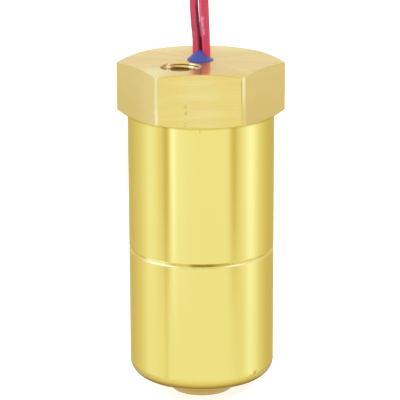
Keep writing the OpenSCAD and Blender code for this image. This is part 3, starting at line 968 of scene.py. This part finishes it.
# %% Thread mesh
thread_pitch = 25.4 / 27 * mm
thread_depth = 0.62 * mm
thread_sunk = 0.01 * mm
thread_root_half = 0.44 * mm
thread_crest_half = 0.06 * mm
thread_sides = 64
thread_runout = 0.3 * mm
thread_sharp_angle = 25
thread_profile = [
    (thread_sunk, -thread_root_half), (-thread_depth, -thread_crest_half),
    (-thread_depth, thread_crest_half), (thread_sunk, thread_root_half),
]


def thread_mesh(name, centre, root_r, low_z, high_z):
    length = high_z - low_z - 2 * thread_root_half
    steps = int(length / thread_pitch * thread_sides)
    points = []
    for i in range(steps + 1):
        angle = 2 * pi * i / thread_sides
        z = low_z + thread_root_half + length * i / steps
        fade = eased(min(i, steps - i) / (thread_sides / 4))
        for inward, rise in thread_profile:
            r = root_r + (inward * fade if inward < 0 else inward)
            points.append((centre[0] + r * cos(angle), centre[1] + r * sin(angle), z + rise))
    faces = []
    for i in range(steps):
        a, b = 4 * i, 4 * (i + 1)
        faces += [(a + k, a + (k + 1) % 4, b + (k + 1) % 4, b + k) for k in range(4)]
    faces += [(3, 2, 1, 0), tuple(4 * steps + k for k in range(4))]
    mesh = mesh_from(name, points, faces)
    mesh.set_sharp_from_angle(angle=radians(thread_sharp_angle))
    return mesh


print("thread pitch, mm:", round(thread_pitch / mm, 3))

# %% [markdown]
# The thread's brass is stained brown in patches by oil and oxide, which also dulls its mirror. The
# two painted highlight streaks of the bore go on over the crests: a pale tone with less mirror, so
# that they catch light from above down into the bore. The stain could sit in the root only, but in
# the photo the whole wall is brown between the streaks. One finish serves both threads, and its
# streaks are set out from the top port's axis.

# %% Threads in both ports
thread_roughness = 0.2
thread_stain = (0.35, 0.65, 0.5, 1.0)
stained_mirror, streak_mirror = 0.78, 0.45
thread_grain = 0.006 * mm


def thread_finish():
    material, tree, shader, place, color = brass_base("thread_brass", thread_roughness)
    stain = step_between(tree, noise(tree, place, 600, 3), *thread_stain)
    color = mix_colors(tree, stain, color, bore_brown)
    # The streaks are painted highlights.
    streak_highlight = painted_highlight_streaks(tree, split(tree, place), "top_port")
    connect(
        tree, shader, Base_Color=mix_colors(tree, streak_highlight, color, painted_highlight_brass),
        Metallic=step_between(tree, streak_highlight, 0, 1, stained_mirror, streak_mirror),
        Normal=bump_from(tree, noise(tree, place, 2500, 3), thread_grain),
    )
    return material


thread_brass = thread_finish()
for port, body_slot in (("top_port", "housing_brass"), ("bottom_port", "bowl_brass")):
    mount = mounts[port]
    middle, half = Vector(mount["pos_m"]), mount["dims"]["length_mm"] * mm / 2
    ends = (middle.z - half + thread_runout, middle.z + half)
    mesh = thread_mesh(port + "_thread", middle, mount["dims"]["r_mm"] * mm, *ends)
    thread = add_piece(port + "_thread", mesh, thread_brass, "housing")
    print(port, "thread faces:", len(thread.data.polygons))

# %% [markdown]
# ## Finishes of the inner pieces
# The inner pieces keep their CAD meshes and get a finish of their own. Each could have a recipe of
# its own, but they fall into families, rubber, stamped steel and plastic. So three short recipes
# with a few settings cover all but the glass.

# %% Recipes for the inner finishes
glass_green, glass_clear = (0.74, 0.88, 0.82), (0.84, 0.95, 0.9)


def rubber_finish(name, color, grain_scale, grain_depth):
    material, tree, shader = new_material(name, Roughness=0.75)
    grain = noise(tree, place_of(tree), grain_scale, 4, 0.6)
    lighter = tuple(1.6 * c + 0.01 for c in color)
    connect(
        tree, shader, Base_Color=mix_colors(tree, grain, color, lighter),
        Roughness=step_between(tree, grain, 0.3, 0.7, 0.62, 0.88),
        Normal=bump_from(tree, grain, grain_depth, 0.8),
    )
    return material


def steel_finish(name, color, roughness):
    material, tree, shader = new_material(name, Metallic=1.0, Roughness=roughness)
    streaks = noise(tree, place_of(tree), 1800, 3, 0.6, (1, 0.15, 1))
    darker = tuple(0.85 * c for c in color)
    connect(
        tree, shader, Base_Color=mix_colors(tree, streaks, darker, color),
        Roughness=step_between(tree, streaks, 0.3, 0.7, roughness - 0.08, roughness + 0.1),
        Normal=bump_from(tree, streaks, groove_depth),
    )
    return material


def plastic_finish(name, color, roughness):
    material, tree, shader = new_material(name, Roughness=roughness)
    place = place_of(tree)
    darker = tuple(0.88 * c for c in color)
    connect(
        tree, shader, Base_Color=mix_colors(tree, noise(tree, place, 260, 3), darker, color),
        Normal=bump_from(tree, noise(tree, place, 2200, 2), 0.01 * mm, 0.4),
    )
    return material


def glass_finish():
    material, tree, shader = new_material(
        "reed_glass", Roughness=0.04, IOR=1.5, Transmission_Weight=0.95,
    )
    tint = noise(tree, place_of(tree), 400, 2)
    connect(tree, shader, Base_Color=mix_colors(tree, tint, glass_green, glass_clear))
    return material


# %% [markdown]
# Each of these pieces is looked up by its node's name, and every slot of its mesh gets the finish.
# They could be dressed one by one, but a table shows at a glance which piece has which finish.

# %% Finish every CAD piece
reed_grey = (0.66, 0.67, 0.7)
node_finishes = {
    "upper_housing": housing_brass,
    "lower_bowl": bowl_brass,
    "joint_o_ring": rubber_finish("seal_rubber", (0.018, 0.018, 0.02), 1500, 0.01 * mm),
    "stem_tube": steel_finish("stem_brass", (0.84, 0.7, 0.28), 0.3),
    "retaining_rings": steel_finish("spring_steel", (0.52, 0.53, 0.55), 0.32),
    "stop_washer": steel_finish("washer_steel", (0.7, 0.71, 0.73), 0.25),
    "float_body": rubber_finish("float_rubber", (0.022, 0.022, 0.024), 1100, 0.05 * mm),
    "float_magnet": rubber_finish("ferrite", (0.03, 0.03, 0.034), 2600, 0.01 * mm),
    "magnet_cap": rubber_finish("cap_rubber", (0.03, 0.03, 0.032), 1500, 0.02 * mm),
    "reed_glass": glass_finish(),
    "upper_reed_blade": steel_finish("reed_metal_upper", reed_grey, 0.24),
    "lower_reed_blade": steel_finish("reed_metal_lower", reed_grey, 0.24),
    "reed_sleeve": plastic_finish("clear_sleeve", (0.8, 0.8, 0.74), 0.4),
    "solder_joints": steel_finish("solder", (0.68, 0.68, 0.7), 0.3),
    "held_leads": lead_red,
    "left_lead_core": tinned,
    "coil_ties": plastic_finish("tie_nylon", (0.82, 0.81, 0.74), 0.42),
}
for node_name, finish in node_finishes.items():
    for slot in frame["nodes"][node_name].material_slots:
        slot.material = finish
print("finished nodes:", len(node_finishes))

# %% [markdown]
# ## Helpers for the surroundings
# The table and the light tent are what the brass mirrors, and both change their tone over a
# distance or an angle. A picture of a studio could be mirrored instead, but a colour ramp with a
# few stops holds only the tones that matter. The second helper lets one shader take over from
# another.

# %% Shader helpers
def ramp_of(tree, share, stops, low, high):
    """A colour ramp over low to high, doubled so that a stop can be brighter than white."""
    node = add_node(tree, "ShaderNodeValToRGB")
    connect(tree, node, Fac=share)
    for _ in range(len(stops) - 2):
        node.color_ramp.elements.new(0.5)
    for element, (place, tone) in zip(node.color_ramp.elements, stops):
        element.position = (place - low) / (high - low)
        element.color = (*(t / 2 for t in tone), 1)
    double = add_node(tree, "ShaderNodeVectorMath", operation="SCALE", Scale=2.0)
    tree.links.new(node.outputs["Color"], double.inputs[0])
    return double.outputs[0]


def mix_shaders(tree, share, first, second):
    """The first shader where the share is 0, and the second where it is 1."""
    node = add_node(tree, "ShaderNodeMixShader")
    for socket, source in zip(node.inputs, (share, first, second)):
        tree.links.new(source, socket)
    return node.outputs[0]


# %% [markdown]
# ## Floor
# The object stands on a plain white table. The camera should see white paper with a faint contact
# shadow, so camera rays get some glow on top of the diffuse white.
#
# The round foot mirrors the table under it, which lies in the object's own shade: brown close to
# the boss, then paler outwards, and darker behind the object, away from the lamps. Real bounced
# light would need many samples to be free of grain here, so mirror rays see a colour ramp over the
# distance from the axis instead. Further out the floor lets mirror rays through to the light tent.
# Seen from below the floor is clear, so that the underside can be looked at. The stops of the
# ramp are distances in millimetres.

# %% Floor
floor_half = 3.0
floor_white = (0.86, 0.86, 0.86, 1)
camera_glow = 0.71
foot_r = 27 * mm
floor_seen_r = 36 * mm
shade_from_to = (-26 * mm, 16 * mm)
shade_behind = 0.52
foot_shade = [
    (0, (0.78, 0.60, 0.58)), (13, (0.73, 0.56, 0.50)), (15, (0.46, 0.34, 0.20)),
    (16.5, (0.36, 0.25, 0.11)), (18.5, (0.54, 0.42, 0.21)), (21, (0.75, 0.62, 0.39)),
    (24, (0.88, 0.80, 0.58)), (36, (0.95, 0.90, 0.70)),
]


def mirrored_floor(tree, clear):
    """What a mirror ray sees: the object's shade near the foot, and further out nothing."""
    xyz = split(tree, place_of(tree))
    radius = radius_from(tree, xyz)
    share = math_node(tree, "DIVIDE", radius, floor_seen_r)
    tones = ramp_of(tree, share, foot_shade, 0, floor_seen_r / mm)
    dimmed = add_node(tree, "ShaderNodeVectorMath", operation="SCALE")
    tree.links.new(tones, dimmed.inputs[0])
    connect(tree, dimmed, Scale=step_between(tree, xyz[1], *shade_from_to, 1.0, shade_behind))
    shade = add_node(tree, "ShaderNodeEmission")
    connect(tree, shade, Color=dimmed.outputs[0])
    return mix_shaders(tree, step_between(tree, radius, foot_r, floor_seen_r), shade.outputs[0], clear)


def floor_finish():
    material = bpy.data.materials.new("white_table")
    material.use_nodes = True
    tree = material.node_tree
    tree.nodes.remove(tree.nodes["Principled BSDF"])
    paper = add_node(tree, "ShaderNodeBsdfDiffuse", Color=floor_white).outputs[0]
    glow = add_node(tree, "ShaderNodeEmission", Strength=camera_glow).outputs[0]
    glowing = add_node(tree, "ShaderNodeAddShader")
    tree.links.new(paper, glowing.inputs[0])
    tree.links.new(glow, glowing.inputs[1])
    clear = add_node(tree, "ShaderNodeBsdfTransparent").outputs[0]
    rays = add_node(tree, "ShaderNodeLightPath").outputs
    seen = mix_shaders(tree, rays["Is Camera Ray"], paper, glowing.outputs[0])
    surface = mix_shaders(tree, rays["Is Glossy Ray"], seen, mirrored_floor(tree, clear))
    below = add_node(tree, "ShaderNodeNewGeometry").outputs["Backfacing"]
    surface = mix_shaders(tree, times(tree, below, rays["Is Camera Ray"]), surface, clear)
    connect(tree, tree.nodes["Material Output"], Surface=surface)
    return material


corners = [(x * floor_half, y * floor_half, 0) for x, y in ((-1, -1), (1, -1), (1, 1), (-1, 1))]
floor = bpy.data.objects.new("floor", mesh_from("floor", corners, [(0, 1, 2, 3)], smooth=False))
floor.data.materials.append(floor_finish())
scene.collection.objects.link(floor)
print("floor, m across:", 2 * floor_half)

# %% [markdown]
# ## Studio light
# The object stands in a white light tent. The brass mirrors the tent's walls: bright panels at the
# sides, a darker seam on each side of the camera and dim corners behind. The world shader draws
# these as colour ramps over the compass direction, 0 being the camera's side, and mixes four of
# them by height: the walls, the walls as the low part of the object sees them, the front above the
# lens with the dark opening in it, and the front ceiling. The dim parts of the walls are also
# warmer, which a power per colour channel gives. Planes with lamps on them would make the same
# reflections, but a ramp is easier to read and to change.

# %% Tones round the tent
ceiling_tan, ceiling_white = (0.88, 0.765, 0.70), (0.95, 0.90, 0.62)
lens_dark, open_brown = (0.42, 0.31, 0.12), (0.30, 0.18, 0.09)
panel_dim, panel_white, panel_warm = (0.95, 0.90, 0.70), (1.25, 1.30, 1.9), (1.0, 0.97, 0.85)
side_dim, lens_rim = (0.78, 0.69, 0.46), (0.75, 0.64, 0.36)
tent_walls = [
    (-180, 0.80), (-155, 0.66), (-140, 0.69), (-112, 0.83), (-97, 0.95), (-88, 1.04), (-78, 0.99),
    (-68, 0.88), (-63, 0.84), (-59, 0.68), (-54, 0.69), (-49, 1.02), (-44, 1.22), (-39, 1.05), (-20, 1.0),
    (0, 0.99), (41, 0.99), (46, 0.87), (51, 0.68), (55, 0.72), (62, 0.89), (74, 1.04), (82, 1.15),
    (90, 1.11), (99, 0.96), (112, 0.82), (128, 0.71), (145, 0.66), (160, 0.66), (180, 0.80),
]
table_walls = [
    (-180, 0.80), (-155, 0.66), (-140, 0.69), (-118, 0.80), (-102, 0.91), (-94, 0.98), (-88, 0.98),
    (-62, 0.95), (-59, 0.88), (-57, 0.88), (-54, 0.98), (0, 0.98), (48, 0.98), (58, 0.945), (66, 0.92),
    (74, 0.99), (84, 1.07), (93, 1.01), (108, 0.85), (126, 0.71), (145, 0.66), (160, 0.66), (180, 0.80),
]
front_walls = [
    (-180, ceiling_tan), (-162, ceiling_tan), (-150, side_dim), (-108, side_dim), (-96, panel_white),
    (-64, panel_white), (-54, panel_dim), (-22, panel_dim), (-14, lens_dark), (14, lens_dark),
    (32, lens_rim), (56, panel_dim), (66, panel_warm), (98, panel_warm), (112, side_dim),
    (150, side_dim), (162, ceiling_tan), (180, ceiling_tan),
]
front_ceiling = [
    (-180, ceiling_tan), (-125, ceiling_tan), (-105, panel_white), (-60, panel_white), (-50, open_brown),
    (46, open_brown), (58, panel_white), (105, panel_warm), (125, ceiling_tan), (180, ceiling_tan),
]
print("tones round the tent:", len(tent_walls), len(table_walls), len(front_walls), len(front_ceiling))

# %% [markdown]
# Only mirror rays and rays through the glass see the tent. The camera sees plain white, and diffuse
# rays get an even light, so that the plastic and the floor don't take the tent's colours. The
# heights at which one ramp gives way to the next are the upward part of a ray's direction, from -1
# straight down to 1 straight up.

# %% Tent
even_light = 0.55
low_walls_at = (-0.26, -0.335)
walls_end_at = (-0.05, 0.12)
ceiling_at = (0.42, 0.52)
straight_up_at = (0.85, 0.93)


def warm(level):
    """A dimmer part of the tent is also warmer."""
    return (level, level ** 1.5, level ** 3.2)


def tent_tones(tree):
    """Colour of the tent in every direction."""
    ray = split(tree, add_node(tree, "ShaderNodeTexCoord").outputs["Generated"])
    compass = math_node(tree, "ARCTAN2", ray[0], math_node(tree, "MULTIPLY", ray[1], -1.0))
    compass = math_node(tree, "SUBTRACT", compass, radians(camera_turn))
    share = math_node(tree, "ADD", math_node(tree, "DIVIDE", compass, 2 * pi), 0.5)

    def around(stops):
        return ramp_of(tree, share, stops, -180, 180)

    walls = around([(angle, warm(level)) for angle, level in tent_walls])
    low_walls = around([(angle, warm(level)) for angle, level in table_walls])
    walls = mix_colors(tree, step_between(tree, ray[2], *low_walls_at), walls, low_walls)
    to_ceiling = step_between(tree, ray[2], *ceiling_at)
    above = mix_colors(tree, to_ceiling, around(front_walls), around(front_ceiling))
    above = mix_colors(tree, step_between(tree, ray[2], *straight_up_at), above, ceiling_white)
    return mix_colors(tree, step_between(tree, ray[2], *walls_end_at), walls, above)


def tent_light():
    world = bpy.data.worlds.new("light_tent")
    scene.world = world
    world.use_nodes = True
    tree = world.node_tree
    tree.nodes.clear()
    rays = add_node(tree, "ShaderNodeLightPath").outputs
    mirrored = math_node(tree, "MAXIMUM", rays["Is Glossy Ray"], rays["Is Transmission Ray"])
    plain = mix_colors(tree, rays["Is Camera Ray"], (even_light,) * 3, (1, 1, 1))
    background = add_node(tree, "ShaderNodeBackground")
    connect(tree, background, Color=mix_colors(tree, mirrored, plain, tent_tones(tree)))
    output = add_node(tree, "ShaderNodeOutputWorld")
    connect(tree, output, Surface=background.outputs[0])
    return world


print("tent nodes:", len(tent_light().node_tree.nodes))

# %% [markdown]
# Two large soft lamps give the plastic and the epoxy their shape and the table its faint shadow. A
# sun would do that too, but with a hard shadow. The brass doesn't mirror the lamps, because they
# are hidden from mirror rays: all that it shows is the tent.

# %% Lamps
lamp_target = Vector((0, 0, 0.06))


def soft_lamp(name, place, size, power):
    lamp = bpy.data.objects.new(name, bpy.data.lights.new(name, "AREA"))
    lamp.data.shape = "DISK"
    lamp.data.size = size
    lamp.data.energy = power
    lamp.location = place
    lamp.rotation_euler = (lamp_target - Vector(place)).to_track_quat("-Z", "Y").to_euler()
    lamp.visible_glossy = False
    scene.collection.objects.link(lamp)
    print(name, "watts:", power)


soft_lamp("key_lamp", (0.5, -0.7, 1.0), size=0.5, power=9)
soft_lamp("fill_lamp", (-0.8, -0.4, 0.7), size=0.6, power=4)
